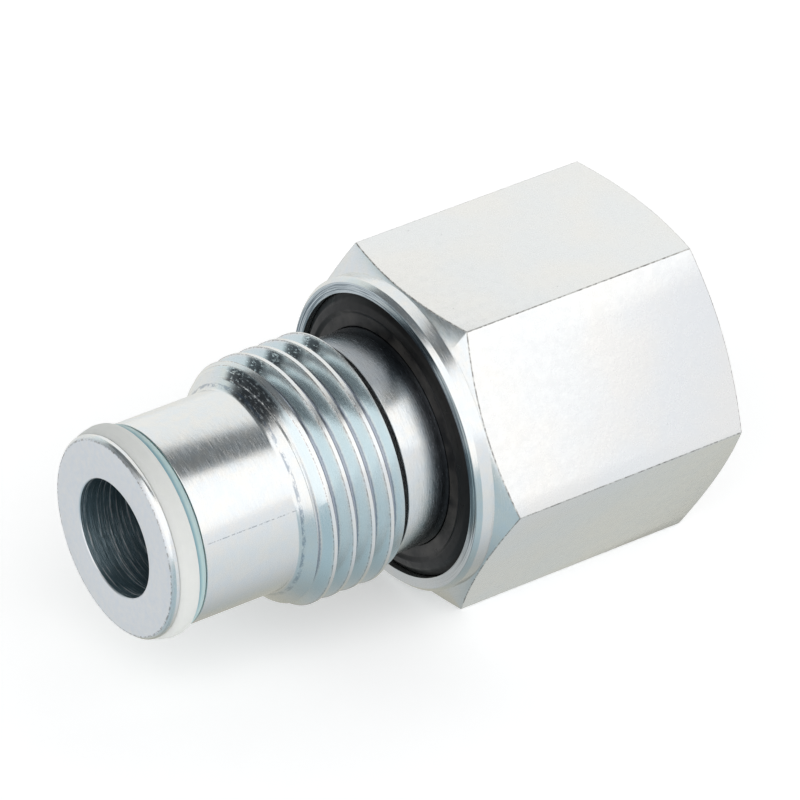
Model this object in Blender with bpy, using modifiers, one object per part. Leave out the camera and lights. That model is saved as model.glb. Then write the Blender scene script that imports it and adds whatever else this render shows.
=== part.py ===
"""An in-line poppet cartridge valve with a G1/2 male screw-in end and a G1/2 female port.

The valve lies on one flat of its hexagon. Its axis runs along X, nose towards -X, and the
origin is the middle of its footprint. Stations along the axis are counted in millimetres from
the nose face, radii in millimetres from the axis, and both become metres where they are used.
"""

import math

import bmesh
import bpy

MM = 0.001
LENGTH = 51.1
HEX_FLATS = 27.0  # across flats, the spanner size
AXIS_HEIGHT = HEX_FLATS / 2
HEX_CORNER = HEX_FLATS / 2 / math.cos(math.pi / 6)
SIDES = 48  # facets round a turned piece
FINE_SIDES = 32  # facets round the small inner pieces
CLEARANCE = 0.3  # between pieces that touch on the real valve

# Outside of the body, from the nose
LIP_RADIUS = 8.55
SPIGOT_RADIUS = 8.5
SPIGOT_END = 12.0
GROOVE_START = 0.65
GROOVE_END = 3.25
GROOVE_RADIUS = 7.2
THREAD_RADIUS = 10.45  # G1/2: 20.955 mm over the crests
THREAD_ROOT = 9.3
THREAD_PITCH = 1.814
THREAD_HALF_ANGLE = math.radians(27.5)
THREAD_START = 14.4
THREAD_TURNS = 4.6
THREAD_END = 21.1
NECK_START = 21.9
NECK_RADIUS = 9.2
RECESS_FLOOR = 27.5
RECESS_RADIUS = 12.1
COLLAR_START = 25.9
COLLAR_RADIUS = 13.35
HEX_START = 27.44
CHAMFER_SLOPE = math.tan(math.radians(21))

# Inside of the body
NOSE_BORE = 5.0
CHAMBER_START = 11.6
CHAMBER_RADIUS = 7.0
SCREW_BORE_START = 28.2
SCREW_BORE = 7.65
PORT_START = 37.8
PORT_RADIUS = 9.3
PORT_MOUTH = 10.7

# Seat, poppet and cage
SEAT_START = 11.9
SEAT_END = 16.0
SEAT_BORE = 4.2
INSERT_RADIUS = 6.75
POPPET_TIP = 12.8
POPPET_TIP_RADIUS = 1.5
POPPET_RADIUS = 4.9
POPPET_END = 24.8
POPPET_BORE = 3.9
POPPET_FLOOR = 17.0
POPPET_HOLE = 1.3
POPPET_HOLE_STATION = 18.6
CAGE_START = 16.3
CAGE_END = 26.0
GALLERY_RADIUS = 5.9
GALLERY_END = 22.6
GUIDE_RADIUS = 5.1
SNAP_RING_STATION = 26.9
SNAP_RING_WIRE = 0.6

# Spring and its adjustment
SPRING_WIRE = 0.45
SPRING_RADIUS = 3.3
SPRING_TURNS = 6.5
SPRING_SEAT_START = 28.6
SPRING_SEAT_END = 30.0
SPRING_SEAT_RADIUS = 6.6
PILOT_START = 27.4
PILOT_RADIUS = 2.55
SCREW_START = 31.2
SCREW_END = 34.4
SCREW_RADIUS = 7.35
SOCKET_FLATS = 8.0
LOCK_RING_START = 35.5
LOCK_RING_END = 37.5
LOCK_RING_BORE = 5.0

# name: (colour, roughness, metallic)
FINISHES = {
    "zinc_plate": ((0.78, 0.80, 0.82), 0.28, 1.0),
    "black_rubber": ((0.02, 0.02, 0.021), 0.45, 0.0),
    "white_polymer": ((0.74, 0.75, 0.72), 0.55, 0.0),
    "teal_polyurethane": ((0.36, 0.56, 0.58), 0.35, 0.0),
    "hardened_steel": ((0.42, 0.42, 0.43), 0.3, 1.0),
    "spring_steel": ((0.22, 0.21, 0.2), 0.35, 1.0),
    "turned_steel": ((0.55, 0.55, 0.56), 0.3, 1.0),
    "brass": ((0.72, 0.52, 0.22), 0.3, 1.0),
}


def clear_scene():
    for obj in list(bpy.data.objects):
        bpy.data.objects.remove(obj)


def new_collection(name):
    collection = bpy.data.collections.new(name)
    bpy.context.scene.collection.children.link(collection)
    return collection


def material(finish):
    found = bpy.data.materials.get(finish)
    if found:
        return found
    colour, roughness, metallic = FINISHES[finish]
    made = bpy.data.materials.new(finish)
    made.use_nodes = True
    shader = made.node_tree.nodes["Principled BSDF"]
    shader.inputs["Base Color"].default_value = (*colour, 1.0)
    shader.inputs["Roughness"].default_value = roughness
    shader.inputs["Metallic"].default_value = metallic
    made.diffuse_color = (*colour, 1.0)
    return made


def along(station):
    """Metres along the axis from the middle of the valve."""
    return (station - LENGTH / 2) * MM


def add_object(name, data, collection, finish=None):
    """An object whose own Z axis is the valve's axis."""
    obj = bpy.data.objects.new(name, data)
    collection.objects.link(obj)
    obj.location = (0, 0, AXIS_HEIGHT * MM)
    obj.rotation_euler = (0, math.pi / 2, 0)
    if finish:
        data.materials.append(material(finish))
    return obj


def turned(name, outline, collection, finish=None, sides=SIDES):
    """A piece turned from (station, radius) points, along the outside and back along the bore.

    An outline that starts and ends on the axis is left open there, and closes as it turns.
    """
    mesh = bpy.data.meshes.new(name)
    points = [(radius * MM, 0, along(station)) for station, radius in reversed(outline)]
    on_axis = outline[0][1] == 0
    edges = [(i, i + 1) for i in range(len(points) - 1)]
    if not on_axis:
        edges.append((len(points) - 1, 0))
    mesh.from_pydata(points, edges, [])
    obj = add_object(name, mesh, collection, finish)
    screw = obj.modifiers.new("turn", "SCREW")
    screw.axis = "Z"
    screw.steps = sides
    screw.render_steps = sides
    screw.use_merge_vertices = on_axis
    screw.merge_threshold = 1e-6
    screw.use_smooth_shade = False
    return obj


def add_boolean(obj, cutter, operation):
    boolean = obj.modifiers.new(f"{operation.lower()} {cutter.name}", "BOOLEAN")
    boolean.operation = operation
    boolean.solver = "EXACT"
    boolean.object = cutter


def hide(helper):
    helper.hide_render = True
    helper.display_type = "WIRE"
    return helper


def prism(name, sides, radius, start, end, collection):
    """A prism on the axis, with corners to the left and the right."""
    mesh = bpy.data.meshes.new(name)
    bm = bmesh.new()
    bmesh.ops.create_cone(
        bm, cap_ends=True, segments=sides, radius1=radius * MM, radius2=radius * MM,
        depth=(end - start) * MM,
    )
    bmesh.ops.translate(bm, verts=bm.verts, vec=(0, 0, along((start + end) / 2)))
    bm.to_mesh(mesh)
    bm.free()
    return hide(add_object(name, mesh, collection))


def cross_drill(name, radius, reach, station, angle, collection):
    """A drill across the axis at a station, turned about the axis by an angle."""
    mesh = bpy.data.meshes.new(name)
    bm = bmesh.new()
    bmesh.ops.create_cone(
        bm, cap_ends=True, segments=16, radius1=radius * MM, radius2=radius * MM,
        depth=2 * reach * MM,
    )
    bm.to_mesh(mesh)
    bm.free()
    drill = bpy.data.objects.new(name, mesh)
    collection.objects.link(drill)
    drill.location = (along(station), 0, AXIS_HEIGHT * MM)
    drill.rotation_euler = (angle, 0, 0)
    return hide(drill)


def thread_ridge(collection):
    """The male thread's ridge: one section turned along a helix, trimmed at both ends."""
    depth = THREAD_RADIUS - THREAD_ROOT
    crest_half = (THREAD_PITCH - 0.3) / 2 - depth * math.tan(THREAD_HALF_ANGLE)
    foot_half = (THREAD_PITCH - 0.1) / 2
    foot_radius = THREAD_RADIUS - (foot_half - crest_half) / math.tan(THREAD_HALF_ANGLE)
    section = [
        (foot_radius, -foot_half),
        (THREAD_RADIUS, -crest_half),
        (THREAD_RADIUS, crest_half),
        (foot_radius, foot_half),
    ]
    steps = round(SIDES * THREAD_TURNS)
    half_facet = math.pi / SIDES
    bm = bmesh.new()
    corners = [
        bm.verts.new((
            r * MM * math.cos(half_facet),
            r * MM * math.sin(half_facet),
            along(THREAD_START + z),
        ))
        for r, z in section
    ]
    face = bm.faces.new(corners)
    bmesh.ops.spin(
        bm, geom=[face, *face.edges, *face.verts], axis=(0, 0, 1), cent=(0, 0, 0),
        dvec=(0, 0, THREAD_PITCH * THREAD_TURNS / steps * MM),
        angle=-2 * math.pi * THREAD_TURNS, steps=steps, use_duplicate=False,
    )
    bmesh.ops.recalc_face_normals(bm, faces=bm.faces)
    mesh = bpy.data.meshes.new("thread_ridge")
    bm.to_mesh(mesh)
    bm.free()
    ridge = hide(add_object("thread_ridge", mesh, collection))
    envelope = turned(
        "thread_envelope",
        [
            (SPIGOT_END + 0.4, 0),
            (SPIGOT_END + 0.4, THREAD_ROOT - 0.5),
            (THREAD_START - 0.4, THREAD_RADIUS + 0.3),
            (THREAD_END - 0.9, THREAD_RADIUS + 0.3),
            (THREAD_END, THREAD_ROOT - 0.3),
            (THREAD_END, 0),
        ],
        collection,
    )
    add_boolean(ridge, hide(envelope), "INTERSECT")
    return ridge


def body_outline():
    chamfer_end = HEX_START + (HEX_CORNER + 0.1 - COLLAR_RADIUS) * CHAMFER_SLOPE
    rear_chamfer = LENGTH - (HEX_CORNER + 0.1 - COLLAR_RADIUS + 0.1) * CHAMFER_SLOPE
    outside = [
        (0, LIP_RADIUS - 0.25),
        (0.25, LIP_RADIUS),
        (GROOVE_START, LIP_RADIUS),
        (GROOVE_START, GROOVE_RADIUS),
        (GROOVE_END, GROOVE_RADIUS),
        (GROOVE_END, SPIGOT_RADIUS - 0.1),
        (GROOVE_END + 0.1, SPIGOT_RADIUS),
        (SPIGOT_END, SPIGOT_RADIUS),
        (SPIGOT_END + 1.0, THREAD_RADIUS - 0.45),
        (SPIGOT_END + 1.3, THREAD_RADIUS - 0.2),
        (THREAD_START - 0.6, THREAD_RADIUS - 0.2),
        (THREAD_START, THREAD_ROOT),
        (NECK_START, THREAD_ROOT),
        (NECK_START, NECK_RADIUS),
        (RECESS_FLOOR, NECK_RADIUS),
        (RECESS_FLOOR, RECESS_RADIUS),
        (COLLAR_START, RECESS_RADIUS),
        (COLLAR_START, COLLAR_RADIUS - 0.45),
        (COLLAR_START + 0.45, COLLAR_RADIUS),
        (HEX_START, COLLAR_RADIUS),
        (chamfer_end, HEX_CORNER + 0.1),
        (rear_chamfer, HEX_CORNER + 0.1),
        (LENGTH, COLLAR_RADIUS - 0.1),
    ]
    inside = [
        (LENGTH, PORT_MOUTH),
        (LENGTH - (PORT_MOUTH - PORT_RADIUS), PORT_RADIUS),
        (PORT_START + 0.8, PORT_RADIUS),
        (PORT_START, SCREW_BORE),
        (SCREW_BORE_START, SCREW_BORE),
        (SCREW_BORE_START, CHAMBER_RADIUS),
        (SNAP_RING_STATION + 0.7, CHAMBER_RADIUS),
        (SNAP_RING_STATION + 0.7, CHAMBER_RADIUS + 0.55),
        (SNAP_RING_STATION - 0.7, CHAMBER_RADIUS + 0.55),
        (SNAP_RING_STATION - 0.7, CHAMBER_RADIUS),
        (CHAMBER_START, CHAMBER_RADIUS),
        (CHAMBER_START, NOSE_BORE),
        (0.3, NOSE_BORE),
        (0, NOSE_BORE + 0.3),
    ]
    return outside + inside


def valve_body(parts, cutters):
    body = turned("valve_body", body_outline(), parts, "zinc_plate")
    hexagon = prism("hex_bar", 6, HEX_CORNER, -5, LENGTH + 5, cutters)
    add_boolean(body, hexagon, "INTERSECT")
    add_boolean(body, thread_ridge(cutters), "UNION")
    return body


def seals(parts):
    """The face seal in the collar, and the back-up ring and O-ring on the nose."""
    inner = NECK_RADIUS + CLEARANCE
    outer = RECESS_RADIUS - 0.15
    floor = RECESS_FLOOR - CLEARANCE
    turned(
        "face_seal_ring",
        [
            (COLLAR_START + 0.75, inner),
            (COLLAR_START + 0.45, inner + 0.35),
            (COLLAR_START + 0.05, outer - 0.75),
            (COLLAR_START + 0.2, outer - 0.1),
            (COLLAR_START + 0.45, outer),
            (floor, outer - 0.1),
            (floor, inner),
        ],
        parts, "black_rubber",
    )
    turned(
        "nose_backup_ring",
        [(0.72, 8.8), (0.87, 8.95), (2.1, 8.95), (2.2, 8.85), (2.2, 7.35), (0.72, 7.35)],
        parts, "white_polymer",
    )
    turned(
        "nose_o_ring",
        [(2.3, 8.3), (2.5, 8.6), (2.75, 8.68), (3.0, 8.6), (3.15, 8.3),
         (3.15, 7.8), (3.0, 7.45), (2.5, 7.45), (2.3, 7.8)],
        parts, "teal_polyurethane",
    )


def seat_pieces(parts):
    """The hardened seat and the seals round it."""
    seat_rim = SEAT_BORE + 0.8
    turned(
        "seat_insert",
        [
            (SEAT_START, INSERT_RADIUS - 0.3),
            (SEAT_START + 0.3, INSERT_RADIUS),
            (12.9, INSERT_RADIUS),
            (12.9, 5.6),
            (15.0, 5.6),
            (15.0, INSERT_RADIUS),
            (SEAT_END, INSERT_RADIUS),
            (SEAT_END, seat_rim),
            (SEAT_END - 0.8, SEAT_BORE),
            (SEAT_START + 0.4, SEAT_BORE),
            (SEAT_START, SEAT_BORE + 0.4),
        ],
        parts, "hardened_steel", FINE_SIDES,
    )
    section = [2 * math.pi * i / 10 for i in range(10)]
    o_ring = [(13.65 - 0.58 * math.cos(a), 6.3 + 0.58 * math.sin(a)) for a in section]
    turned("seat_o_ring", o_ring, parts, "black_rubber", FINE_SIDES)
    turned(
        "seat_backup_ring",
        [(14.4, 6.85), (14.85, 6.85), (14.85, 5.75), (14.4, 5.75)],
        parts, "white_polymer", FINE_SIDES,
    )


def poppet(parts, cutters):
    """A hollow poppet: oil passes its cone, enters through four holes and leaves at its back."""
    shoulder = POPPET_TIP + POPPET_RADIUS - POPPET_TIP_RADIUS
    piece = turned(
        "poppet",
        [
            (POPPET_TIP, 0),
            (POPPET_TIP, POPPET_TIP_RADIUS),
            (shoulder, POPPET_RADIUS),
            (POPPET_END - 0.3, POPPET_RADIUS),
            (POPPET_END, POPPET_RADIUS - 0.3),
            (POPPET_END, POPPET_BORE + 0.2),
            (POPPET_END - 0.2, POPPET_BORE),
            (POPPET_FLOOR, POPPET_BORE),
            (POPPET_FLOOR, 0),
        ],
        parts, "hardened_steel", FINE_SIDES,
    )
    for name, angle in (("poppet_drill_a", math.pi / 4), ("poppet_drill_b", -math.pi / 4)):
        drill = cross_drill(name, POPPET_HOLE, 8, POPPET_HOLE_STATION, angle, cutters)
        add_boolean(piece, drill, "DIFFERENCE")


def cage(parts):
    """The sleeve that guides the poppet, and the wire ring that holds it in the body."""
    turned(
        "poppet_cage",
        [
            (CAGE_START, INSERT_RADIUS),
            (CAGE_END - 0.4, INSERT_RADIUS),
            (CAGE_END, INSERT_RADIUS - 0.4),
            (CAGE_END, GUIDE_RADIUS + 0.3),
            (CAGE_END - 0.3, GUIDE_RADIUS),
            (GALLERY_END + 0.8, GUIDE_RADIUS),
            (GALLERY_END, GALLERY_RADIUS),
            (CAGE_START, GALLERY_RADIUS),
        ],
        parts, "turned_steel", FINE_SIDES,
    )
    radius = CHAMBER_RADIUS + 0.5 - SNAP_RING_WIRE
    arc = [math.radians(25 + 310 * i / 30) for i in range(31)]
    points = [
        (radius * math.cos(a), radius * math.sin(a), SNAP_RING_STATION) for a in arc
    ]
    wire("snap_ring", points, SNAP_RING_WIRE, parts, "spring_steel")


def wire(name, points, radius, collection, finish):
    """A round wire through (across, across, station) points."""
    curve = bpy.data.curves.new(name, "CURVE")
    curve.dimensions = "3D"
    curve.bevel_depth = radius * MM
    curve.bevel_resolution = 2
    curve.use_fill_caps = True
    spline = curve.splines.new("POLY")
    spline.points.add(len(points) - 1)
    for point, (x, y, station) in zip(spline.points, points):
        point.co = (x * MM, y * MM, along(station), 1)
    return add_object(name, curve, collection, finish)


def main_spring(parts):
    """A compression spring with a closed turn at each end."""
    start = POPPET_FLOOR + CLEARANCE + SPRING_WIRE
    end = SPRING_SEAT_START - CLEARANCE - SPRING_WIRE
    closed = (2 * SPRING_WIRE + 0.08) / (end - start)  # rise of one end turn
    steps = round(18 * SPRING_TURNS)
    points = []
    for i in range(steps + 1):
        turn = SPRING_TURNS * i / steps
        if turn < 1:
            rise = closed * turn
        elif turn > SPRING_TURNS - 1:
            rise = 1 - closed * (SPRING_TURNS - turn)
        else:
            rise = closed + (1 - 2 * closed) * (turn - 1) / (SPRING_TURNS - 2)
        angle = 2 * math.pi * turn
        points.append((
            SPRING_RADIUS * math.cos(angle),
            SPRING_RADIUS * math.sin(angle),
            start + (end - start) * rise,
        ))
    wire("main_spring", points, SPRING_WIRE, parts, "spring_steel")


def spring_seat(parts, cutters):
    """A flanged seat with a pilot inside the spring and six holes for the flow."""
    piece = turned(
        "spring_seat",
        [
            (PILOT_START, PILOT_RADIUS - 0.3),
            (PILOT_START + 0.3, PILOT_RADIUS),
            (SPRING_SEAT_START, PILOT_RADIUS),
            (SPRING_SEAT_START, SPRING_SEAT_RADIUS),
            (SPRING_SEAT_END, SPRING_SEAT_RADIUS),
            (SPRING_SEAT_END, 1.7),
            (PILOT_START, 1.7),
        ],
        parts, "turned_steel", FINE_SIDES,
    )
    mesh = bpy.data.meshes.new("flow_drills")
    bm = bmesh.new()
    for i in range(6):
        angle = math.pi / 3 * i
        made = bmesh.ops.create_cone(
            bm, cap_ends=True, segments=12, radius1=0.95 * MM, radius2=0.95 * MM, depth=6 * MM
        )
        place = (5.05 * MM * math.cos(angle), 5.05 * MM * math.sin(angle), along(SPRING_SEAT_END))
        bmesh.ops.translate(bm, verts=made["verts"], vec=place)
    bm.to_mesh(mesh)
    bm.free()
    add_boolean(piece, hide(add_object("flow_drills", mesh, cutters)), "DIFFERENCE")
    turned(
        "thrust_washer",
        [
            (SPRING_SEAT_END + CLEARANCE, 6.4),
            (SCREW_START - CLEARANCE, 6.4),
            (SCREW_START - CLEARANCE, 4.4),
            (SPRING_SEAT_END + CLEARANCE, 4.4),
        ],
        parts, "brass", FINE_SIDES,
    )


def threaded_rings(parts, cutters):
    """The hollow adjusting screw, the washer behind it and the slotted ring that locks it."""
    screw = turned(
        "preload_screw",
        [
            (SCREW_START, SCREW_RADIUS - 0.5),
            (SCREW_START + 0.5, SCREW_RADIUS),
            (SCREW_END - 0.5, SCREW_RADIUS),
            (SCREW_END, SCREW_RADIUS - 0.5),
            (SCREW_END, 3.2),
            (SCREW_START, 3.2),
        ],
        parts, "turned_steel", FINE_SIDES,
    )
    socket_corner = SOCKET_FLATS / 2 / math.cos(math.pi / 6)
    socket = prism("socket", 6, socket_corner, SCREW_START - 2, SCREW_END + 2, cutters)
    add_boolean(screw, socket, "DIFFERENCE")
    turned(
        "lock_washer",
        [
            (SCREW_END + CLEARANCE, 7.2),
            (LOCK_RING_START - CLEARANCE, 7.2),
            (LOCK_RING_START - CLEARANCE, LOCK_RING_BORE + 0.2),
            (SCREW_END + CLEARANCE, LOCK_RING_BORE + 0.2),
        ],
        parts, "spring_steel", FINE_SIDES,
    )
    ring = turned(
        "lock_ring",
        [
            (LOCK_RING_START, SCREW_RADIUS - 0.4),
            (LOCK_RING_START + 0.4, SCREW_RADIUS),
            (LOCK_RING_END - 0.4, SCREW_RADIUS),
            (LOCK_RING_END, SCREW_RADIUS - 0.4),
            (LOCK_RING_END, LOCK_RING_BORE + 0.2),
            (LOCK_RING_END - 0.2, LOCK_RING_BORE),
            (LOCK_RING_START, LOCK_RING_BORE),
        ],
        parts, "turned_steel", FINE_SIDES,
    )
    for name, sideways in (("slot_across", (1.6, 20)), ("slot_upright", (20, 1.6))):
        mesh = bpy.data.meshes.new(name)
        bm = bmesh.new()
        bmesh.ops.create_cube(bm, size=MM)
        bmesh.ops.scale(bm, verts=bm.verts, vec=(*sideways, 2.0))
        bmesh.ops.translate(bm, verts=bm.verts, vec=(0, 0, along(LOCK_RING_END)))
        bm.to_mesh(mesh)
        bm.free()
        add_boolean(ring, hide(add_object(name, mesh, cutters)), "DIFFERENCE")


def main():
    clear_scene()
    parts = new_collection("cartridge_valve")
    cutters = new_collection("cutters")
    cutters.hide_render = True
    valve_body(parts, cutters)
    seals(parts)
    seat_pieces(parts)
    poppet(parts, cutters)
    cage(parts)
    main_spring(parts)
    spring_seat(parts, cutters)
    threaded_rings(parts, cutters)


main()
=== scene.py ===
"""Looks for an in-line poppet cartridge valve: fine turned pieces, real threads and plated metal.

Stations run along +X in millimetres from the nose face, radii are in millimetres from the axis.
"""

import math

import bmesh
import bpy
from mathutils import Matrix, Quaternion, Vector


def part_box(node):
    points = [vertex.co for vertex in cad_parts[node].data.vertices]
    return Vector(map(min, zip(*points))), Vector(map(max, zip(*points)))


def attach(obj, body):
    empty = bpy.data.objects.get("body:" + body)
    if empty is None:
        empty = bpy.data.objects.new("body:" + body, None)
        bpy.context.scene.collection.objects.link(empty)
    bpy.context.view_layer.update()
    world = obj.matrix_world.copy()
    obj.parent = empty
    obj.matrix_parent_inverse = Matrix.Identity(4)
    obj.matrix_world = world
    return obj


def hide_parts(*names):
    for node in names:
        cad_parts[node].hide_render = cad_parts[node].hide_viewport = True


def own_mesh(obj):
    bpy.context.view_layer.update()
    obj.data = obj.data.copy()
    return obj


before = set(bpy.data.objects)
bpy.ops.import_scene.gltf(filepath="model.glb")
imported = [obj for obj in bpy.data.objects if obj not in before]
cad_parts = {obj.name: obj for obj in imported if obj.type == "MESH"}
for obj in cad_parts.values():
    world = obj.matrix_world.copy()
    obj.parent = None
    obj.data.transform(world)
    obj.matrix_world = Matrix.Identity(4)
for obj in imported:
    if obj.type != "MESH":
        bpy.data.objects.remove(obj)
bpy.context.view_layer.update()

MM = 0.001
BODY_LOW, BODY_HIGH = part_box("valve_body")
NOSE_X = BODY_LOW.x
AXIS_Z = (BODY_LOW.z + BODY_HIGH.z) / 2
LENGTH = (BODY_HIGH.x - BODY_LOW.x) / MM
HEX_FLATS = (BODY_HIGH.z - BODY_LOW.z) / MM
HEX_CORNER = HEX_FLATS / 2 / math.cos(math.pi / 6)

FINE = 256  # facets round the body
ROUND = 128  # facets round a smaller piece
SHARP = math.radians(28)  # edges above this angle stay sharp
FLAT_SLOT, BORE_SLOT, EDGE_SLOT = 1, 2, 3  # the body's material slots after the turned finish

# Outside of the body
LIP_RADIUS = 8.55
GROOVE_START, GROOVE_END, GROOVE_RADIUS = 0.65, 3.25, 7.2
SPIGOT_RADIUS, SPIGOT_END = 8.5, 11.95
CREST_RADIUS = 10.45
ROOT_RADIUS = 9.32
PITCH = 1.814
THREAD_START = 12.45
THREAD_TURNS = 5.75
THREAD_SPIN = 0.4
THREAD_PHASE = THREAD_START - PITCH * THREAD_SPIN / 2 / math.pi
THREAD_BACK = 20.85  # where the crests end
NECK_START, NECK_RADIUS = 21.95, 9.25
COLLAR_FACE, COLLAR_END = 25.9, 27.44
COLLAR_RADIUS = 13.35
RECESS_RADIUS, RECESS_FLOOR = 12.1, 27.5
FRONT_SLOPE = math.tan(math.radians(22))  # of the hexagon's chamfers
REAR_SLOPE = math.tan(math.radians(20))
HEX_ZONE = 27.1  # the hexagon's flats and edges are all behind this station

# Inside of the body
NOSE_BORE = 5.0
CHAMBER_START, CHAMBER_RADIUS = 11.6, 7.0
SNAP_START, SNAP_END, SNAP_RADIUS = 26.2, 27.6, 7.55
SCREW_START, SCREW_BORE = 28.2, 7.65
PORT_FLOOR = 37.8
PORT_RADIUS = 9.35
PORT_MOUTH = 10.75
PORT_THREAD_START, PORT_THREAD_TURNS = 39.6, 6.9
PORT_THREAD_ROOT = 10.48

WHITWORTH = math.tan(math.radians(27.5))  # half angles of the two thread forms
METRIC = math.tan(math.radians(30))
METRIC_PITCH = 1.0

SPRING_TURNS = 6.5
SPRING_RADIUS = 3.3
SPRING_WIRE = 0.45

FLOOR_GLOW = 0.35

# The camera: degrees, metres and millimetres of focal length
AZIMUTH, ELEVATION, ROLL = -35.24, 34.27, 0.94
DISTANCE = 0.679
LENS = 379.5
CENTRE = 25.8  # the station that the camera's aim is counted from
AIM_RIGHT, AIM_UP = 0.00137, 0.00295


# ---------------------------------------------------------------- shapes

def span(node):
    """First and last station of a CAD node, and its outer radius."""
    low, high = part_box(node)
    return (low.x - NOSE_X) / MM, (high.x - NOSE_X) / MM, (high.y - low.y) / 2 / MM


def rounded(outline, default=0.06, steps=3):
    """A closed outline with each corner replaced by an arc. A point may carry its own radius."""
    corners = [(Vector(p[:2]), p[2] if len(p) > 2 else default) for p in outline]
    points = []
    for i, (corner, radius) in enumerate(corners):
        before = corners[i - 1][0] - corner
        after = corners[(i + 1) % len(corners)][0] - corner
        turn = before.angle(after)
        if corner.y == 0 or radius == 0 or turn > math.pi - 0.02:
            points.append(corner)
            continue
        reach = radius / math.tan(turn / 2)
        reach = min(reach, 0.45 * before.length, 0.45 * after.length)
        radius = reach * math.tan(turn / 2)
        middle = (before.normalized() + after.normalized()).normalized()
        centre = corner + middle * (radius / math.sin(turn / 2))
        first = corner + before.normalized() * reach - centre
        last = corner + after.normalized() * reach - centre
        for k in range(steps + 1):
            points.append(centre + first.slerp(last, k / steps) * radius)
    return points


def turned(name, outline, sides=ROUND, default=0.06, steps=3):
    """A mesh turned about the valve's axis from a closed (station, radius) outline."""
    points = rounded(outline, default, steps)
    bm = bmesh.new()
    rows = []
    for p in points:
        x = NOSE_X + p.x * MM
        if p.y < 1e-9:
            rows.append([bm.verts.new((x, 0, AXIS_Z))] * sides)
            continue
        row = []
        for k in range(sides):
            angle = 2 * math.pi * k / sides
            y, z = p.y * MM * math.cos(angle), p.y * MM * math.sin(angle)
            row.append(bm.verts.new((x, y, AXIS_Z + z)))
        rows.append(row)
    for i, row in enumerate(rows):
        after = rows[(i + 1) % len(rows)]
        for k in range(sides):
            n = (k + 1) % sides
            ring = []
            for vert in (row[k], row[n], after[n], after[k]):
                if vert not in ring:
                    ring.append(vert)
            if len(ring) > 2:
                bm.faces.new(ring)
    bmesh.ops.recalc_face_normals(bm, faces=bm.faces)
    return finish_mesh(name, bm)


def shade(mesh):
    mesh.shade_smooth()
    mesh.set_sharp_from_angle(angle=SHARP)


def finish_mesh(name, bm):
    mesh = bpy.data.meshes.new(name)
    bm.to_mesh(mesh)
    bm.free()
    shade(mesh)
    obj = bpy.data.objects.new(name, mesh)
    bpy.context.scene.collection.objects.link(obj)
    return obj


def cylinder(name, sides, radius, length):
    """A prism along its own Z axis, about its own middle."""
    bm = bmesh.new()
    bmesh.ops.create_cone(bm, cap_ends=True, segments=sides, radius1=radius * MM,
                          radius2=radius * MM, depth=length * MM)
    return finish_mesh(name, bm)


def sweep(name, bm, rows):
    """Skins rows of vertices along a path, and closes both ends."""
    sides = len(rows[0])
    for row, after in zip(rows, rows[1:]):
        for k in range(sides):
            n = (k + 1) % sides
            bm.faces.new((row[k], row[n], after[n], after[k]))
    bm.faces.new(rows[0])
    bm.faces.new(rows[-1])
    bmesh.ops.recalc_face_normals(bm, faces=bm.faces)
    return finish_mesh(name, bm)


def apply_modifiers(obj):
    graph = bpy.context.evaluated_depsgraph_get()
    made = bpy.data.meshes.new_from_object(obj.evaluated_get(graph))
    obj.modifiers.clear()
    old = obj.data
    obj.data = made
    bpy.data.meshes.remove(old)


def boolean(obj, cutter, operation="DIFFERENCE"):
    """Cuts or joins obj with cutter for good, and removes the cutter."""
    modifier = obj.modifiers.new("join", "BOOLEAN")
    modifier.operation = operation
    modifier.solver = "EXACT"
    modifier.object = cutter
    apply_modifiers(obj)
    bpy.data.objects.remove(cutter)


def helix_cutter(section, start, pitch, turns, steps=96, spin=0.0):
    """A (station, radius) section swept along a right-hand helix, closed at both ends."""
    count = round(steps * turns)
    bm = bmesh.new()
    rows = []
    for i in range(count + 1):
        angle = 2 * math.pi * (i / steps) + spin
        shift = start + pitch * i / steps
        row = []
        for station, radius in section:
            y, z = radius * MM * math.cos(angle), radius * MM * math.sin(angle)
            row.append(bm.verts.new((NOSE_X + (shift + station) * MM, y, AXIS_Z + z)))
        rows.append(row)
    return sweep("helix_cutter", bm, rows)


def groove_section(root, top, half_root, slope):
    """A thread groove: a rounded root at radius root, flanks out to radius top."""
    wide = half_root + abs(top - root) * slope
    lift = (top - root) * 0.06
    return [
        (-wide, top), (wide, top), (half_root, root + lift),
        (half_root * 0.45, root), (-half_root * 0.45, root), (-half_root, root + lift),
    ]


def drill(radius, reach, station, angle):
    """A cross hole's cutter through the axis, at an angle about it."""
    obj = cylinder("drill", 48, radius, 2 * reach)
    obj.location = (NOSE_X + station * MM, 0, AXIS_Z)
    obj.rotation_euler = (angle, 0, 0)
    return obj


def hex_prism(flats, start, end):
    """A hexagonal bar on the valve's axis, between two stations."""
    obj = cylinder("hex_prism", 6, flats / 2 / math.cos(math.pi / 6), end - start)
    obj.location = (NOSE_X + (start + end) / 2 * MM, 0, AXIS_Z)
    obj.rotation_euler = (0, math.pi / 2, 0)
    return obj


def axis_radius(point):
    return math.hypot(point.y, point.z - AXIS_Z) / MM


def station_of(point):
    return (point.x - NOSE_X) / MM


def bevel_edges(obj, chosen, width, angle=15):
    """Rounds the sharp edges whose both ends pass the chosen test."""
    bm = bmesh.new()
    bm.from_mesh(obj.data)
    edges = [
        e for e in bm.edges
        if len(e.link_faces) == 2
        and e.calc_face_angle() > math.radians(angle)
        and all(chosen(v.co) for v in e.verts)
    ]
    bmesh.ops.bevel(bm, geom=edges, offset=width * MM, segments=2, profile=0.5,
                    affect="EDGES", clamp_overlap=True, material=EDGE_SLOT)
    bm.to_mesh(obj.data)
    bm.free()
    shade(obj.data)


# ---------------------------------------------------------------- pieces

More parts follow.
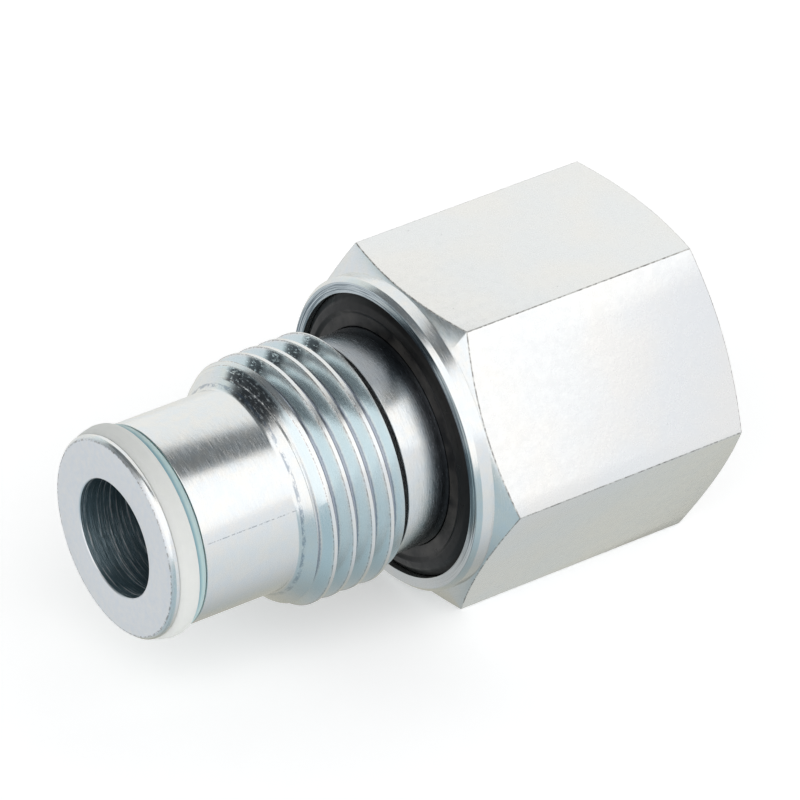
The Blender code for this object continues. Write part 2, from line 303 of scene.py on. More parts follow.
def body_outline():
    over = HEX_CORNER + 0.12
    rise = (over - COLLAR_RADIUS) * FRONT_SLOPE
    fall = (over - COLLAR_RADIUS) * REAR_SLOPE
    nose = [
        (0, 8.26, 0.05), (0.32, LIP_RADIUS, 0.08), (GROOVE_START, LIP_RADIUS, 0.06),
        (GROOVE_START, GROOVE_RADIUS, 0.1), (GROOVE_END, GROOVE_RADIUS, 0.1),
        (GROOVE_END, SPIGOT_RADIUS, 0.07), (SPIGOT_END, SPIGOT_RADIUS, 0.35),
    ]
    thread_and_neck = [
        (13.0, 9.8, 0.2), (13.95, CREST_RADIUS, 0.4), (THREAD_BACK, CREST_RADIUS, 0.06),
        (21.3, 9.55, 0.3), (NECK_START, NECK_RADIUS, 0.6), (RECESS_FLOOR, NECK_RADIUS, 0.1),
        (RECESS_FLOOR, RECESS_RADIUS, 0.1), (COLLAR_FACE, RECESS_RADIUS, 0.05),
    ]
    hexagon = [
        (COLLAR_FACE + 0.02, 13.0, 0.1), (26.3, COLLAR_RADIUS, 0.12),
        (COLLAR_END, COLLAR_RADIUS, 0.03), (COLLAR_END + rise, over, 0),
        (LENGTH - fall, over, 0), (LENGTH, COLLAR_RADIUS, 0.08),
    ]
    port = [
        (LENGTH, PORT_MOUTH, 0.08), (50.2, PORT_RADIUS, 0.05), (41.0, PORT_RADIUS, 0.05),
        (40.4, 10.6, 0.2), (39.2, 10.6, 0.2), (38.7, PORT_RADIUS, 0.1),
        (PORT_FLOOR, SCREW_BORE, 0.05),
    ]
    bore = [
        (SCREW_START, SCREW_BORE), (SCREW_START, CHAMBER_RADIUS), (SNAP_END, CHAMBER_RADIUS),
        (SNAP_END, SNAP_RADIUS, 0.2), (SNAP_START, SNAP_RADIUS, 0.2),
        (SNAP_START, CHAMBER_RADIUS), (CHAMBER_START, CHAMBER_RADIUS, 0.1),
        (CHAMBER_START, NOSE_BORE, 0.05), (0.08, NOSE_BORE, 0.02), (0, NOSE_BORE + 0.08, 0.02),
    ]
    return nose + thread_and_neck + hexagon + port + bore


def make_body():
    body = turned("valve_body_fine", body_outline(), FINE)
    boolean(body, hex_prism(HEX_FLATS, -5, LENGTH + 5), "INTERSECT")
    bevel_edges(body, lambda p: axis_radius(p) > 13.42 and station_of(p) > HEX_ZONE, 0.07)
    male = groove_section(ROOT_RADIUS, CREST_RADIUS + 0.22, 0.17, WHITWORTH)
    boolean(body, helix_cutter(male, THREAD_START, PITCH, THREAD_TURNS, spin=THREAD_SPIN))
    female = groove_section(PORT_THREAD_ROOT, PORT_RADIUS - 0.2, 0.17, WHITWORTH)
    boolean(body, helix_cutter(female, PORT_THREAD_START, PITCH, PORT_THREAD_TURNS, spin=0.15))
    shade(body.data)
    return body


def make_seals():
    """The collar's profile ring, and the two rings in the nose groove."""
    outer = RECESS_RADIUS - 0.03
    face_seal = turned("face_seal_fine", [
        (27.45, NECK_RADIUS + 0.05, 0.1), (25.88, NECK_RADIUS + 0.05, 0.08),
        (26.0, 10.35, 0.12), (25.80, 10.7, 0.2), (25.95, 11.35, 0.5), (26.5, outer, 0.2),
        (27.45, outer, 0.1),
    ], FINE, steps=5)
    backup = turned("nose_backup_fine", [
        (0.69, 8.5, 0.12), (1.1, 8.8, 0.3), (1.8, 8.95, 0.3), (2.3, 8.9, 0.12), (2.33, 7.25, 0.1),
        (0.69, 7.25, 0.1),
    ], FINE, steps=4)
    o_ring = turned("nose_o_ring_fine", [
        (2.36, 8.55, 0.2), (2.75, 8.68, 0.4), (3.2, 8.45, 0.3), (3.22, 7.25, 0.3),
        (2.36, 7.25, 0.3),
    ], FINE, steps=6)
    return face_seal, backup, o_ring


def make_seat():
    """The seat insert, and the static seal and its backup ring round it."""
    start, end, radius = span("seat_insert")
    insert = turned("seat_insert_fine", [
        (start, radius - 0.3), (start + 0.3, radius), (12.9, radius), (12.9, 5.6, 0.1),
        (15.0, 5.6, 0.1), (15.0, radius), (end, radius), (end, 5.0, 0.03),
        (end - 0.8, 4.2, 0.03), (start + 0.4, 4.2), (start, 4.6),
    ])
    low, high, radius = span("seat_o_ring")
    mid, cord = (low + high) / 2, (high - low) / 2
    circle = [2 * math.pi * i / 20 for i in range(20)]
    ring = turned("seat_o_ring_fine", [
        (mid - cord * math.cos(a), radius - cord + cord * math.sin(a), 0) for a in circle
    ])
    low, high, radius = span("seat_backup_ring")
    backup = turned("seat_backup_fine", [
        (low, radius), (high, radius), (high, radius - 1.1), (low, radius - 1.1),
    ])
    return insert, ring, backup


def make_poppet():
    tip, end, radius = span("poppet")
    shoulder = tip + radius - 1.5
    piece = turned("poppet_fine", [
        (tip, 0), (tip, 1.5, 0.25), (shoulder, radius, 0.12), (17.0, radius, 0),
        (end - 0.3, radius), (end, radius - 0.3), (end, 4.1), (end - 0.2, 3.9),
        (17.0, 3.9, 0.3), (17.0, 0),
    ])
    for angle in (math.pi / 4, -math.pi / 4):
        boolean(piece, drill(1.3, 8, 18.6, angle))
    return piece


def make_cage():
    start, end, radius = span("poppet_cage")
    return turned("poppet_cage_fine", [
        (start, radius), (17.9, radius), (18.1, radius - 0.15), (18.5, radius - 0.15),
        (18.7, radius), (end - 0.4, radius), (end, radius - 0.4), (end, 5.4),
        (end - 0.3, 5.1), (23.4, 5.1), (22.6, 5.9), (start, 5.9),
    ])


def wire(name, centres, radius, sides=16):
    """A round wire as a mesh tube through centres, with flat ground ends."""
    bm = bmesh.new()
    rows = []
    for i, centre in enumerate(centres):
        ahead = centres[min(i + 1, len(centres) - 1)] - centres[max(i - 1, 0)]
        out = Vector((0, centre.y, centre.z - AXIS_Z)).normalized()
        side = ahead.cross(out).normalized()
        rows.append([
            bm.verts.new(centre + radius * MM * (out * math.cos(a) + side * math.sin(a)))
            for a in (2 * math.pi * k / sides for k in range(sides))
        ])
    return sweep(name, bm, rows)


def make_snap_ring():
    low, high, _ = span("snap_ring")
    radius = (high - low) / 2
    x = NOSE_X + (low + high) / 2 * MM
    middle = 6.9 * MM
    arc = [math.radians(115 + 310 * i / 90) for i in range(91)]
    centres = [Vector((x, middle * math.cos(a), AXIS_Z + middle * math.sin(a))) for a in arc]
    return wire("snap_ring_fine", centres, radius - 0.01)


def spring_half(name, first, last):
    """Part of the main spring, from one share of its turns to another, with closed end turns."""
    low, high, _ = span("main_spring")
    start, end = low + SPRING_WIRE, high - SPRING_WIRE
    closed = (2 * SPRING_WIRE + 0.08) / (end - start)
    steps = 64
    centres = []
    count = round(steps * SPRING_TURNS * (last - first))
    for i in range(count + 1):
        turn = SPRING_TURNS * (first + (last - first) * i / count)
        if turn < 1:
            rise = closed * turn
        elif turn > SPRING_TURNS - 1:
            rise = 1 - closed * (SPRING_TURNS - turn)
        else:
            rise = closed + (1 - 2 * closed) * (turn - 1) / (SPRING_TURNS - 2)
        angle = 2 * math.pi * turn
        centres.append(Vector((
            NOSE_X + (start + (end - start) * rise) * MM,
            SPRING_RADIUS * MM * math.cos(angle),
            AXIS_Z + SPRING_RADIUS * MM * math.sin(angle),
        )))
    return wire(name, centres, SPRING_WIRE)


def make_spring_seat():
    start, end, radius = span("spring_seat")
    flange = end - 1.4
    piece = turned("spring_seat_fine", [
        (start, 2.2), (start + 0.35, 2.55), (flange, 2.55, 0.2), (flange, radius),
        (end, radius), (end, 1.9), (end - 0.2, 1.7), (start, 1.7),
    ])
    for i in range(6):
        angle = math.pi / 3 * i
        hole = cylinder("hole", 32, 0.95, 6)
        hole.rotation_euler = (0, math.pi / 2, 0)
        y, z = 5.05 * MM * math.cos(angle), 5.05 * MM * math.sin(angle)
        hole.location = (NOSE_X + end * MM, y, AXIS_Z + z)
        bpy.context.view_layer.update()
        boolean(piece, hole)
    return piece


def make_washers():
    low, high, radius = span("thrust_washer")
    thrust = turned("thrust_washer_fine", [
        (low, radius), (high, radius), (high, 4.4), (low, 4.4),
    ])
    low, high, radius = span("lock_washer")
    lock = turned("lock_washer_fine", [
        (low, radius), (high, radius), (high, 5.2), (low, 5.2),
    ])
    return thrust, lock


def cut_metric_thread(piece, start, end, radius):
    """Cuts an outside thread past both ends of a piece."""
    groove = groove_section(radius - 0.55, radius + 0.12, 0.06, METRIC)
    boolean(piece, helix_cutter(groove, start - 0.9, METRIC_PITCH, end - start + 1.8))


def make_preload_screw():
    start, end, radius = span("preload_screw")
    screw = turned("preload_screw_fine", [
        (start, radius - 0.5), (start + 0.5, radius), (end - 0.5, radius),
        (end, radius - 0.5), (end, 5.0), (end - 0.25, 4.6, 0.02), (end - 0.25, 3.2, 0),
        (start, 3.2, 0),
    ])
    boolean(screw, hex_prism(8.0, start - 2, end + 2))
    cut_metric_thread(screw, start, end, radius)
    return screw


def make_lock_ring():
    start, end, radius = span("lock_ring")
    ring = turned("lock_ring_fine", [
        (start, radius - 0.4), (start + 0.4, radius), (end - 0.4, radius),
        (end, radius - 0.4), (end, 5.25), (end - 0.25, 5.0), (start, 5.0),
    ])
    cut_metric_thread(ring, start, end, radius)
    for size in ((2.0, 20, 1.6), (2.0, 1.6, 20)):
        bm = bmesh.new()
        bmesh.ops.create_cube(bm, size=MM)
        bmesh.ops.scale(bm, verts=bm.verts, vec=size)
        slot = finish_mesh("slot", bm)
        slot.location = (NOSE_X + end * MM, 0, AXIS_Z)
        boolean(ring, slot)
    return ring


# ---------------------------------------------------------------- materials

class Nodes:
    """Short calls for the shader nodes that the looks and the sky share."""

    def __init__(self, tree):
        self.tree = tree

    def node(self, kind, **settings):
        made = self.tree.nodes.new("ShaderNode" + kind)
        for key, value in settings.items():
            setattr(made, key, value)
        return made

    def wire(self, source, target):
        self.tree.links.new(source, target)

    def put(self, value, socket):
        if isinstance(value, bpy.types.NodeSocket):
            self.wire(value, socket)
        else:
            socket.default_value = value

    def math(self, operation, a, b=0.0):
        made = self.node("Math", operation=operation)
        for socket, value in zip(made.inputs, (a, b)):
            self.put(value, socket)
        return made.outputs[0]

    def times(self, *factors):
        total = factors[0]
        for factor in factors[1:]:
            total = self.math("MULTIPLY", total, factor)
        return total

    def invert(self, value):
        return self.math("SUBTRACT", 1.0, value)

    def split(self, vector):
        parts = self.node("SeparateXYZ")
        self.wire(vector, parts.inputs[0])
        return tuple(parts.outputs)

    def join(self, x, y, z):
        made = self.node("CombineXYZ")
        for socket, value in zip(made.inputs, (x, y, z)):
            self.put(value, socket)
        return made.outputs[0]

    def remap(self, value, low, high, to_low=0.0, to_high=1.0, smooth=False):
        made = self.node("MapRange", interpolation_type="SMOOTHSTEP" if smooth else "LINEAR")
        for key, number in zip(("From Min", "From Max", "To Min", "To Max"),
                               (low, high, to_low, to_high)):
            made.inputs[key].default_value = number
        self.wire(value, made.inputs["Value"])
        return made.outputs["Result"]

    def mix(self, factor, a, b):
        made = self.node("Mix", data_type="RGBA")
        self.put(factor, made.inputs["Factor"])
        for socket, value in ((made.inputs[6], a), (made.inputs[7], b)):
            self.put((*value, 1.0) if isinstance(value, tuple) else value, socket)
        return made.outputs[2]

    def ramp(self, value, stops):
        """Colours by value from 0 to 1."""
        made = self.node("ValToRGB")
        elements = made.color_ramp.elements
        while len(elements) < len(stops):
            elements.new(0.5)
        for element, (position, colour) in zip(elements, stops):
            element.position = position
            element.color = (*colour, 1.0)
        self.wire(value, made.inputs[0])
        return made.outputs[0]

    def noise(self, vector, scale, detail=3.0, roughness=0.55):
        made = self.node("TexNoise")
        self.wire(vector, made.inputs["Vector"])
        made.inputs["Scale"].default_value = scale
        made.inputs["Detail"].default_value = detail
        made.inputs["Roughness"].default_value = roughness
        return made.outputs["Fac"]


class Look(Nodes):
    """A material. Its coordinates are in millimetres, x from the nose face, y and z from the axis."""

    def __init__(self, name, **sockets):
        self.material = bpy.data.materials.new(name)
        self.material.use_nodes = True
        super().__init__(self.material.node_tree)
        self.shader = self.tree.nodes["Principled BSDF"]
        for socket, value in sockets.items():
            self.shader.inputs[socket.replace("_", " ")].default_value = value
        self.heights = []
        coords = self.node("TexCoord").outputs["Object"]
        mapping = self.node("Mapping")
        mapping.inputs["Location"].default_value = (-NOSE_X / MM, 0, -AXIS_Z / MM)
        mapping.inputs["Scale"].default_value = (1 / MM, 1 / MM, 1 / MM)
        self.wire(coords, mapping.inputs["Vector"])
        self.point = mapping.outputs["Vector"]
        self.x, self.y, self.z = self.split(self.point)
        self.radius = self.math("SQRT", self.math("ADD", self.times(self.y, self.y),
                                                  self.times(self.z, self.z)))

    def turned_lines(self, across, along):
        """A vector for noise that makes lines along a lathe tool's path, finer as across grows."""
        rise = self.math("ADD", self.x, self.radius)
        return self.join(self.times(rise, across), self.times(self.y, along),
                         self.times(self.z, along))

    def band(self, value, low, high, soft):
        """1 between low and high, falling to 0 over soft on each side."""
        return self.times(self.remap(value, low - soft, low + soft, smooth=True),
                          self.remap(value, high - soft, high + soft, 1, 0, smooth=True))

    def relief(self, height, depth):
        """Adds a height, of depth micrometres for a change of 1."""
        self.heights.append(self.math("MULTIPLY", height, depth))

    def finish(self, colour=None, roughness=None):
        if colour:
            self.wire(colour, self.shader.inputs["Base Color"])
        if roughness:
            self.wire(roughness, self.shader.inputs["Roughness"])
        if self.heights:
            total = self.heights[0]
            for more in self.heights[1:]:
                total = self.math("ADD", total, more)
            bump = self.node("Bump")
            bump.inputs["Strength"].default_value = 1.0
            bump.inputs["Distance"].default_value = 1e-6
            self.wire(total, bump.inputs["Height"])
            self.wire(bump.outputs[0], self.shader.inputs["Normal"])
        return self.material


def thread_marks_and_shade(look, colour, turn, ragged):
    """Pale flanks, dark lines along the crests' edges, painted shade in the roots, and speckled
    painted dark reflections along the top of the thread and over its start.
    """
    # A point's place in the pitch: 0 at the root, half a pitch at the crest
    shift = look.times(turn, PITCH / 2 / math.pi)
    place = look.math("SUBTRACT", look.math("SUBTRACT", look.x, THREAD_PHASE), shift)
    place = look.math("PINGPONG", place, PITCH / 2)
    place = look.math("ADD", place, look.remap(ragged, 0.3, 0.7, -0.03, 0.03))
    threaded = look.band(look.x, 13.2, 20.9, 0.15)
    threaded = look.times(threaded, look.remap(look.radius, 9.2, 9.25))
    flank = look.times(threaded, look.band(place, 0.22, 0.66, 0.06))
    colour = look.mix(look.times(flank, 0.8), colour, (0.70, 0.80, 0.83))
    crest_edge = look.times(threaded, look.band(place, 0.715, 0.765, 0.02),
                            look.remap(ragged, 0.42, 0.56))
    colour = look.mix(look.times(crest_edge, 0.75), colour, (0.34, 0.31, 0.29))
    # Painted shade in the roots of the thread
    root = look.times(threaded, look.remap(place, 0.10, 0.20, 1, 0, smooth=True))
    colour = look.mix(look.times(root, 0.7), colour, (0.20, 0.24, 0.32))

    # Painted dark reflections with speckled edges along the top of the thread
    top = look.times(look.band(turn, math.radians(70), math.radians(83), 0.06),
                     look.remap(look.radius, 9.2, 9.3))
    speck = look.remap(look.noise(look.turned_lines(4.0, 1.6), 1.0, 5, 0.75), 0.40, 0.46)
    dark_reflection_patches = look.times(top, speck, look.remap(look.x, 12.2, 12.6),
                         look.remap(look.x, 20.6, 20.9, 1, 0), look.remap(place, 0.74, 0.66))
    colour = look.mix(look.times(dark_reflection_patches, 0.88), colour, (0.025, 0.032, 0.042))
    # A painted dark reflection over the start of the thread, near its top
    shoulder = look.times(look.band(look.x, 12.0, 13.4, 0.1), speck,
                          look.band(turn, math.radians(80), math.radians(113), 0.15))
    return look.mix(look.times(shoulder, 0.85), colour, (0.03, 0.038, 0.048))


def spigot_scratch_and_shade(look, colour, turn):
    """Painted shade in the inner corner where the spigot meets the thread, and a scratch along the
    spigot.
    """
    broken = look.noise(look.turned_lines(1.5, 1.2), 1.0, 4, 0.7)
    # Painted shade in the inner corner behind the spigot, broken by noise
    crease_shade = look.times(look.band(look.x, 12.1, 12.3, 0.04), look.remap(broken, 0.42, 0.55))
    colour = look.mix(look.times(crease_shade, 0.6), colour, (0.20, 0.26, 0.34))
    dashes = look.noise(look.point, 3.2, 3, 0.8)
    scratch = look.times(look.band(turn, math.radians(160.7), math.radians(161.3), 0.004),
                         look.band(look.x, 3.6, 11.9, 0.2), look.remap(dashes, 0.44, 0.54))
    return look.mix(look.times(scratch, 0.6), colour, (0.20, 0.23, 0.26))


def face_marks_and_shade(look, colour, nose, ragged):
    """The satin nose face and its worn lip, the lined collar face, and painted shade in the corner
    behind the thread.
    """
    satin = look.mix(look.remap(look.noise(look.point, 1.6, 6, 0.65), 0.36, 0.64),
                     (0.74, 0.775, 0.81), (0.81, 0.815, 0.81))
    colour = look.mix(look.times(nose, 0.9), colour, satin)
    worn = look.remap(look.noise(look.point, 3.2, 4, 0.7), 0.47, 0.56)
    lip = look.times(look.band(look.radius, 8.16, 8.30, 0.03),
                     look.remap(look.x, 0.5, 0.6, 1, 0), worn)
    colour = look.mix(look.times(lip, 0.8), colour, (0.3, 0.29, 0.28))
    collar = look.times(look.band(look.x, COLLAR_FACE - 0.2, COLLAR_FACE + 0.25, 0.02),
                        look.band(look.radius, RECESS_RADIUS, 13.0, 0.04))
    lines = look.noise(look.turned_lines(9.0, 0.12), 1.0, 3, 0.7)
    lined = look.mix(look.remap(lines, 0.42, 0.6), (0.10, 0.14, 0.165), (0.62, 0.68, 0.7))
    colour = look.mix(look.times(collar, look.remap(look.z, -11, -5)), colour, lined)
    # Painted shade in the corner behind the thread
    corner = look.band(look.x, 21.2, NECK_START, 0.08)
    corner = look.times(corner, look.remap(ragged, 0.38, 0.5))
    return look.mix(look.times(corner, 0.55), colour, (0.16, 0.20, 0.24))


def neck_shade(look, colour, turn):
    """The neck, darker towards the seal and over its top: painted shade and a painted reflection of
    the black seal, and a painted dark reflection over the top.
    """
    on_neck = look.band(look.radius, 9.0, 9.35, 0.05)
    # Painted shade, with a painted reflection of the black seal, towards the seal
    deep = look.times(look.remap(look.x, 23.4, 25.4, smooth=True), on_neck,
                      look.remap(look.x, 28, 27.9))
    colour = look.mix(look.times(deep, 0.85), colour, (0.10, 0.12, 0.15))
    # A painted dark reflection over the neck's top
    top = look.times(look.band(look.x, NECK_START, 25.6, 0.1), on_neck,
                     look.band(turn, math.radians(58), math.radians(118), 0.12))
    return look.mix(look.times(top, 0.7), colour, (0.17, 0.20, 0.235))


def plated_turned():
    """Bright zinc plate over turned steel."""
    look = Look("zinc_turned", Metallic=1.0, Base_Color=(0.81, 0.83, 0.83, 1))
    tint = look.remap(look.noise(look.point, 0.9, 4, 0.6), 0.38, 0.62)
    colour = look.mix(tint, (0.785, 0.82, 0.835), (0.83, 0.83, 0.805))
    turn = look.math("ARCTAN2", look.z, look.y)
    ragged = look.noise(look.point, 4.5, 4, 0.7)
    nose = look.remap(look.x, 0.1, 0.2, 1, 0)
    colour = thread_marks_and_shade(look, colour, turn, ragged)
    colour = spigot_scratch_and_shade(look, colour, turn)
    colour = face_marks_and_shade(look, colour, nose, ragged)
    colour = neck_shade(look, colour, turn)
    # Painted shade on the underside, away from the nose face
    underside_shade = look.remap(look.z, -0.5, -6.5, smooth=True)
    colour = look.mix(look.times(underside_shade, look.invert(nose), 0.62), colour, (0.36, 0.365, 0.34))

    streaks = look.noise(look.turned_lines(11.0, 0.9), 1.0, 4, 0.7)
    rough = look.remap(streaks, 0.3, 0.7, 0.14, 0.3)
    rough = look.math("ADD", rough, look.times(nose, 0.16))
    look.relief(look.noise(look.turned_lines(8.0, 0.5), 1.0, 3, 0.7), 3.2)
    look.relief(look.noise(look.point, 7, 3, 0.6), 1.6)
    return look.finish(colour, rough)


def plated_flat():
    """Zinc plate over drawn hexagon bar: a fine mottled skin with a few pits."""
    look = Look("zinc_flat", Metallic=1.0, Base_Color=(0.82, 0.83, 0.82, 1))
    tint = look.remap(look.noise(look.point, 0.16, 3), 0.4, 0.62)
    colour = look.mix(tint, (0.83, 0.845, 0.845), (0.855, 0.85, 0.825))
    pits = look.remap(look.noise(look.point, 1.3, 7, 0.72), 0.25, 0.3)
    colour = look.mix(pits, (0.45, 0.44, 0.43), colour)
    rough = look.remap(look.noise(look.point, 1.4, 4, 0.6), 0.3, 0.7, 0.2, 0.32)
    look.relief(look.noise(look.point, 2.2, 4, 0.6), 10)
    look.relief(look.noise(look.point, 8, 3, 0.6), 2)
    look.relief(pits, 14)
    return look.finish(colour, rough)


def worn_edge():
    """The hexagon's edges, where the bar was knocked and the plate is thin."""
    look = Look("zinc_edge", Metallic=1.0, Base_Color=(0.5, 0.5, 0.48, 1))
    nicks = look.remap(look.noise(look.point, 2.6, 5, 0.75), 0.4, 0.58)
    colour = look.mix(nicks, (0.30, 0.29, 0.28), (0.74, 0.74, 0.71))
    rough = look.remap(nicks, 0, 1, 0.55, 0.38)
    look.relief(look.noise(look.point, 3.0, 4, 0.7), 26)
    return look.finish(colour, rough)


def plated_bore():
    """The drilled bores, painted dark for the shade inside them, with deep tool marks."""
    look = Look("zinc_bore_shaded", Metallic=1.0, Base_Color=(0.3, 0.36, 0.4, 1))
    lines = look.noise(look.turned_lines(3.4, 0.10), 1.0, 5, 0.78)
    # Painted shade: the bore's colour stays dark between its pale tool lines
    colour = look.mix(look.remap(lines, 0.53, 0.6), (0.27, 0.36, 0.40), (1.0, 1.0, 1.0))
    look.relief(lines, 60)
    look.relief(look.noise(look.point, 5, 4, 0.7), 8)
    rough = look.remap(lines, 0.3, 0.7, 0.3, 0.45)
    return look.finish(colour, rough)


def black_rubber():
    look = Look("black_rubber", Base_Color=(0.02, 0.02, 0.02, 1))
    look.shader.inputs["Specular IOR Level"].default_value = 0.16
    # A painted reflection of the bright neck: the inner part lighter and browner, in blotches
    inner = look.remap(look.radius, 10.2, 10.6, 1, 0, smooth=True)
    colour = look.mix(look.noise(look.point, 1.8, 4), (0.004, 0.004, 0.0045), (0.011, 0.011, 0.0105))
    neck_reflection = look.times(inner, look.remap(look.noise(look.point, 0.35, 4), 0.35, 0.7))
    colour = look.mix(look.times(neck_reflection, 0.8), colour, (0.075, 0.07, 0.064))
    rough = look.remap(look.noise(look.point, 1.5, 4), 0.3, 0.7, 0.26, 0.4)
    look.relief(look.noise(look.turned_lines(5.0, 0.3), 1.0, 3), 2.0)
    return look.finish(colour, rough)


def white_polymer():
    look = Look("white_polymer", Base_Color=(0.6, 0.61, 0.59, 1))
    look.shader.inputs["Subsurface Weight"].default_value = 0.2
    look.shader.inputs["Subsurface Radius"].default_value = (0.0008, 0.0008, 0.0007)
    look.shader.inputs["Subsurface Scale"].default_value = 1.0
    colour = look.mix(look.noise(look.point, 1.1, 4), (0.67, 0.685, 0.665), (0.73, 0.74, 0.715))
    rough = look.remap(look.noise(look.point, 2.0, 3), 0.3, 0.7, 0.5, 0.62)
    look.relief(look.noise(look.point, 5, 3), 3)
    return look.finish(colour, rough)


def teal_polyurethane():
    look = Look("teal_polyurethane", Base_Color=(0.4, 0.55, 0.56, 1))
    look.shader.inputs["Subsurface Weight"].default_value = 0.3
    look.shader.inputs["Subsurface Radius"].default_value = (0.0004, 0.0007, 0.0008)
    look.shader.inputs["Subsurface Scale"].default_value = 1.0
    colour = look.mix(look.noise(look.point, 0.7, 4), (0.36, 0.51, 0.53), (0.50, 0.62, 0.60))
    front = look.remap(look.x, 2.45, 2.75, 1, 0, smooth=True)
    colour = look.mix(look.times(front, 0.7), colour, (0.17, 0.36, 0.45))
    rough = look.remap(look.noise(look.point, 2.0, 3), 0.3, 0.7, 0.3, 0.45)
    look.relief(look.noise(look.point, 4, 3), 3)
    return look.finish(colour, rough)


def machined(name, dark, light, low=0.18, high=0.34, depth=3.0):
    """Bare machined metal with tool rings."""
    look = Look(name, Metallic=1.0, Base_Color=(*light, 1))
    lines = look.noise(look.turned_lines(5.0, 0.2), 1.0, 4, 0.6)
    colour = look.mix(lines, dark, light)
    rough = look.remap(lines, 0.3, 0.7, low, high)
    look.relief(look.noise(look.turned_lines(7.0, 0.2), 1.0, 4, 0.7), depth)
    look.relief(look.noise(look.point, 6, 3), 1.0)
    return look.finish(colour, rough)


def drawn_wire():
    look = Look("spring_steel", Metallic=1.0, Base_Color=(0.2, 0.19, 0.18, 1))
    colour = look.mix(look.noise(look.point, 2, 4), (0.14, 0.13, 0.125), (0.27, 0.26, 0.25))
    rough = look.remap(look.noise(look.point, 5, 4), 0.3, 0.7, 0.25, 0.42)
    look.relief(look.noise(look.point, 7, 3), 1.5)
    return look.finish(colour, rough)


def pale_floor():
    look = Look("pale_floor", Base_Color=(0.9, 0.9, 0.9, 1), Roughness=0.8)
    look.shader.inputs["Emission Color"].default_value = (1, 1, 1, 1)
    look.shader.inputs["Emission Strength"].default_value = FLOOR_GLOW
    colour = look.mix(look.noise(look.point, 0.01, 2), (0.90, 0.90, 0.90), (0.915, 0.915, 0.91))
    return look.finish(colour)


def paint_body(body, looks):
    """Gives each face of the body the finish of its zone. Bevelled edges have theirs already."""
    for look in looks:
        body.data.materials.append(look)
    for face in body.data.polygons:
        if face.material_index == EDGE_SLOT:
            continue
        centre, normal = face.center, face.normal
        radius, station = axis_radius(centre), station_of(centre)
        outward = normal.y * centre.y + normal.z * (centre.z - AXIS_Z)
        if radius > 13.45 and abs(normal.x) < 0.2 and station > HEX_ZONE:
            face.material_index = FLAT_SLOT
        elif outward < 0 and radius < 7.9 and 0.05 < station < 38.5:
            face.material_index = BORE_SLOT


# ---------------------------------------------------------------- stage

def studio_sky():
    """A light tent: a bright front panel, a paler back wall, a dark gap overhead, a grey table."""
    world = bpy.data.worlds.new("studio")
    bpy.context.scene.world = world
    world.use_nodes = True
    sky = Nodes(world.node_tree)
    x, y, z = sky.split(sky.node("TexCoord").outputs["Generated"])

    def plane(a, b, c):
        total = sky.math("ADD", sky.times(x, a), sky.times(y, b))
        return sky.math("ADD", total, sky.times(z, c))

    front = sky.remap(plane(-0.318, -0.913, -0.272), -0.065, -0.025, smooth=True)
    over = sky.remap(plane(-0.743, -0.496, 0.448), 0.035, 0.08, smooth=True)
    high = sky.remap(z, 0.08, 0.15, smooth=True)
    dark = sky.times(sky.invert(front), over, high)
    wall = sky.mix(sky.remap(x, -0.6, 0.2, smooth=True), (0.68, 0.77, 0.78), (0.975, 0.98, 0.975))
    upper = sky.mix(front, wall, (1.24, 1.235, 1.24))
    upper = sky.mix(dark, upper, (0.15, 0.165, 0.175))

    level = sky.math("ADD", sky.times(plane(-0.252, 0.101, 0.798), front),
                     sky.times(z, sky.invert(front)))
    angle = sky.math("ARCTAN2", z, sky.times(y, -1))
    table = sky.ramp(sky.remap(angle, -math.pi, 0.32), [
        (0.0, (0.88, 0.88, 0.86)), (0.148, (0.83, 0.83, 0.80)), (0.192, (0.62, 0.615, 0.55)),
        (0.27, (0.62, 0.61, 0.54)), (0.40, (0.63, 0.645, 0.61)), (0.46, (0.62, 0.645, 0.65)),
        (0.58, (0.68, 0.71, 0.74)), (0.77, (0.80, 0.83, 0.85)), (0.92, (0.92, 0.935, 0.96)),
        (1.0, (0.94, 0.95, 0.99)),
    ])
    left = sky.mix(sky.remap(y, 0.1, 0.6, smooth=True), (0.47, 0.58, 0.63), (0.82, 0.84, 0.87))
    table = sky.mix(sky.remap(x, -0.4, 0.1, smooth=True), left, table)
    colour = sky.mix(sky.remap(level, -0.012, 0.012, smooth=True), table, upper)
    seam = sky.times(sky.remap(sky.math("ABSOLUTE", level), 0.004, 0.014, 1, 0, smooth=True), front)
    colour = sky.mix(sky.times(seam, 0.5), colour, (0.3, 0.3, 0.34))
    sky.wire(colour, sky.tree.nodes["Background"].inputs[0])


def make_floor():
    bm = bmesh.new()
    bmesh.ops.create_circle(bm, cap_ends=True, segments=64, radius=3.0)
    floor = finish_mesh("floor", bm)
    floor.data.materials.append(pale_floor())
    floor.visible_glossy = False


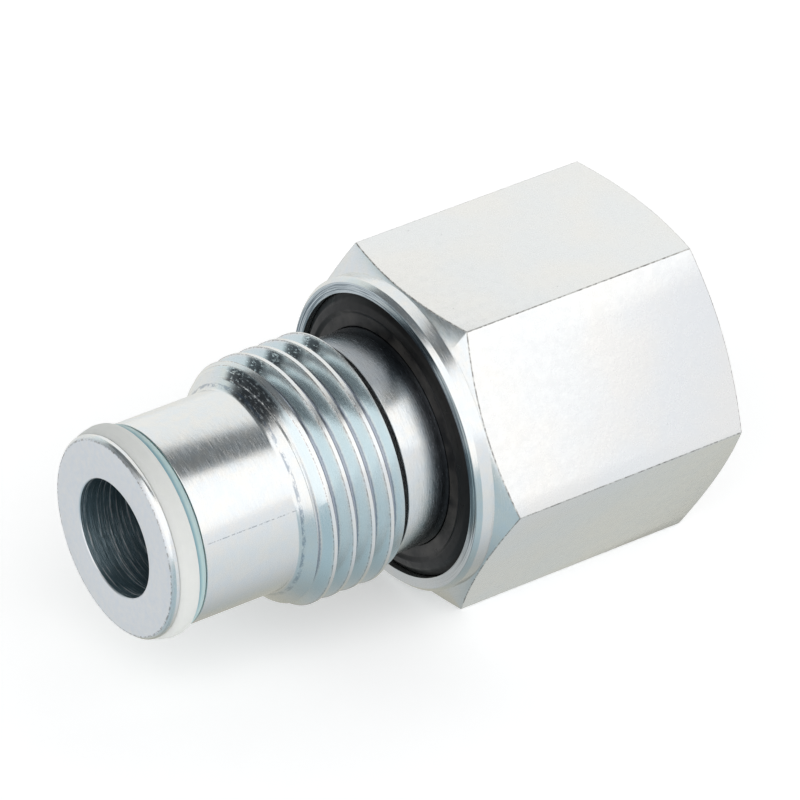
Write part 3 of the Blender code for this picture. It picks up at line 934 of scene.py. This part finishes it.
def make_camera():
    """Looks at the nose end from its left and above."""
    data = bpy.data.cameras.new("camera")
    camera = bpy.data.objects.new("camera", data)
    bpy.context.scene.collection.objects.link(camera)
    bpy.context.scene.camera = camera
    data.lens = LENS
    data.clip_start, data.clip_end = 0.01, 20
    a, e = math.radians(AZIMUTH), math.radians(ELEVATION)
    back = Vector((math.sin(a) * math.cos(e), -math.cos(a) * math.cos(e), math.sin(e)))
    right = Vector((math.cos(a), math.sin(a), 0))
    up = back.cross(right)
    middle = Vector((NOSE_X + CENTRE * MM, 0, AXIS_Z)) + right * AIM_RIGHT + up * AIM_UP
    camera.rotation_mode = "QUATERNION"
    level = (-back).to_track_quat("-Z", "Y")
    camera.rotation_quaternion = Quaternion(back, math.radians(ROLL)) @ level
    camera.location = middle + back * DISTANCE


def settle(piece, node, body, look=None):
    """Puts a piece in its node's place on its body. The valve's body has its looks already."""
    if look:
        piece.data.materials.clear()
        piece.data.materials.append(look)
    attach(piece, body)
    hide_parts(node)


def main():
    zinc = plated_turned()
    rubber, polymer, teal = black_rubber(), white_polymer(), teal_polyurethane()
    hard = machined("hardened_steel", (0.34, 0.34, 0.35), (0.5, 0.5, 0.51), 0.14, 0.26, 2.0)
    steel = machined("turned_steel", (0.45, 0.45, 0.46), (0.62, 0.62, 0.63))
    yellow = machined("brass", (0.6, 0.42, 0.16), (0.78, 0.58, 0.26))
    wire_steel = drawn_wire()

    body = make_body()
    paint_body(body, (zinc, plated_flat(), plated_bore(), worn_edge()))
    settle(body, "valve_body", "body")
    face_seal, backup, o_ring = make_seals()
    settle(face_seal, "face_seal_ring", "body", rubber)
    settle(backup, "nose_backup_ring", "body", polymer)
    settle(o_ring, "nose_o_ring", "body", teal)
    insert, seat_ring, seat_backup = make_seat()
    settle(insert, "seat_insert", "body", hard)
    settle(seat_ring, "seat_o_ring", "body", rubber)
    settle(seat_backup, "seat_backup_ring", "body", polymer)
    settle(make_poppet(), "poppet", "poppet", hard)
    settle(make_cage(), "poppet_cage", "body", steel)
    settle(make_snap_ring(), "snap_ring", "body", wire_steel)
    front = spring_half("main_spring_front", 0, 0.5)
    rear = spring_half("main_spring_rear", 0.5, 1)
    for half in (front, rear):
        settle(half, "main_spring", "body", wire_steel)
    settle(make_spring_seat(), "spring_seat", "spring_carrier", steel)
    thrust, lock = make_washers()
    settle(thrust, "thrust_washer", "spring_carrier", yellow)
    settle(lock, "lock_washer", "lock_washer", wire_steel)
    settle(make_preload_screw(), "preload_screw", "preload_screw", steel)
    settle(make_lock_ring(), "lock_ring", "lock_ring", steel)

    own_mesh(front)
    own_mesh(rear)

    studio_sky()
    make_floor()
    make_camera()
    bpy.context.scene.view_settings.view_transform = "Standard"


main()
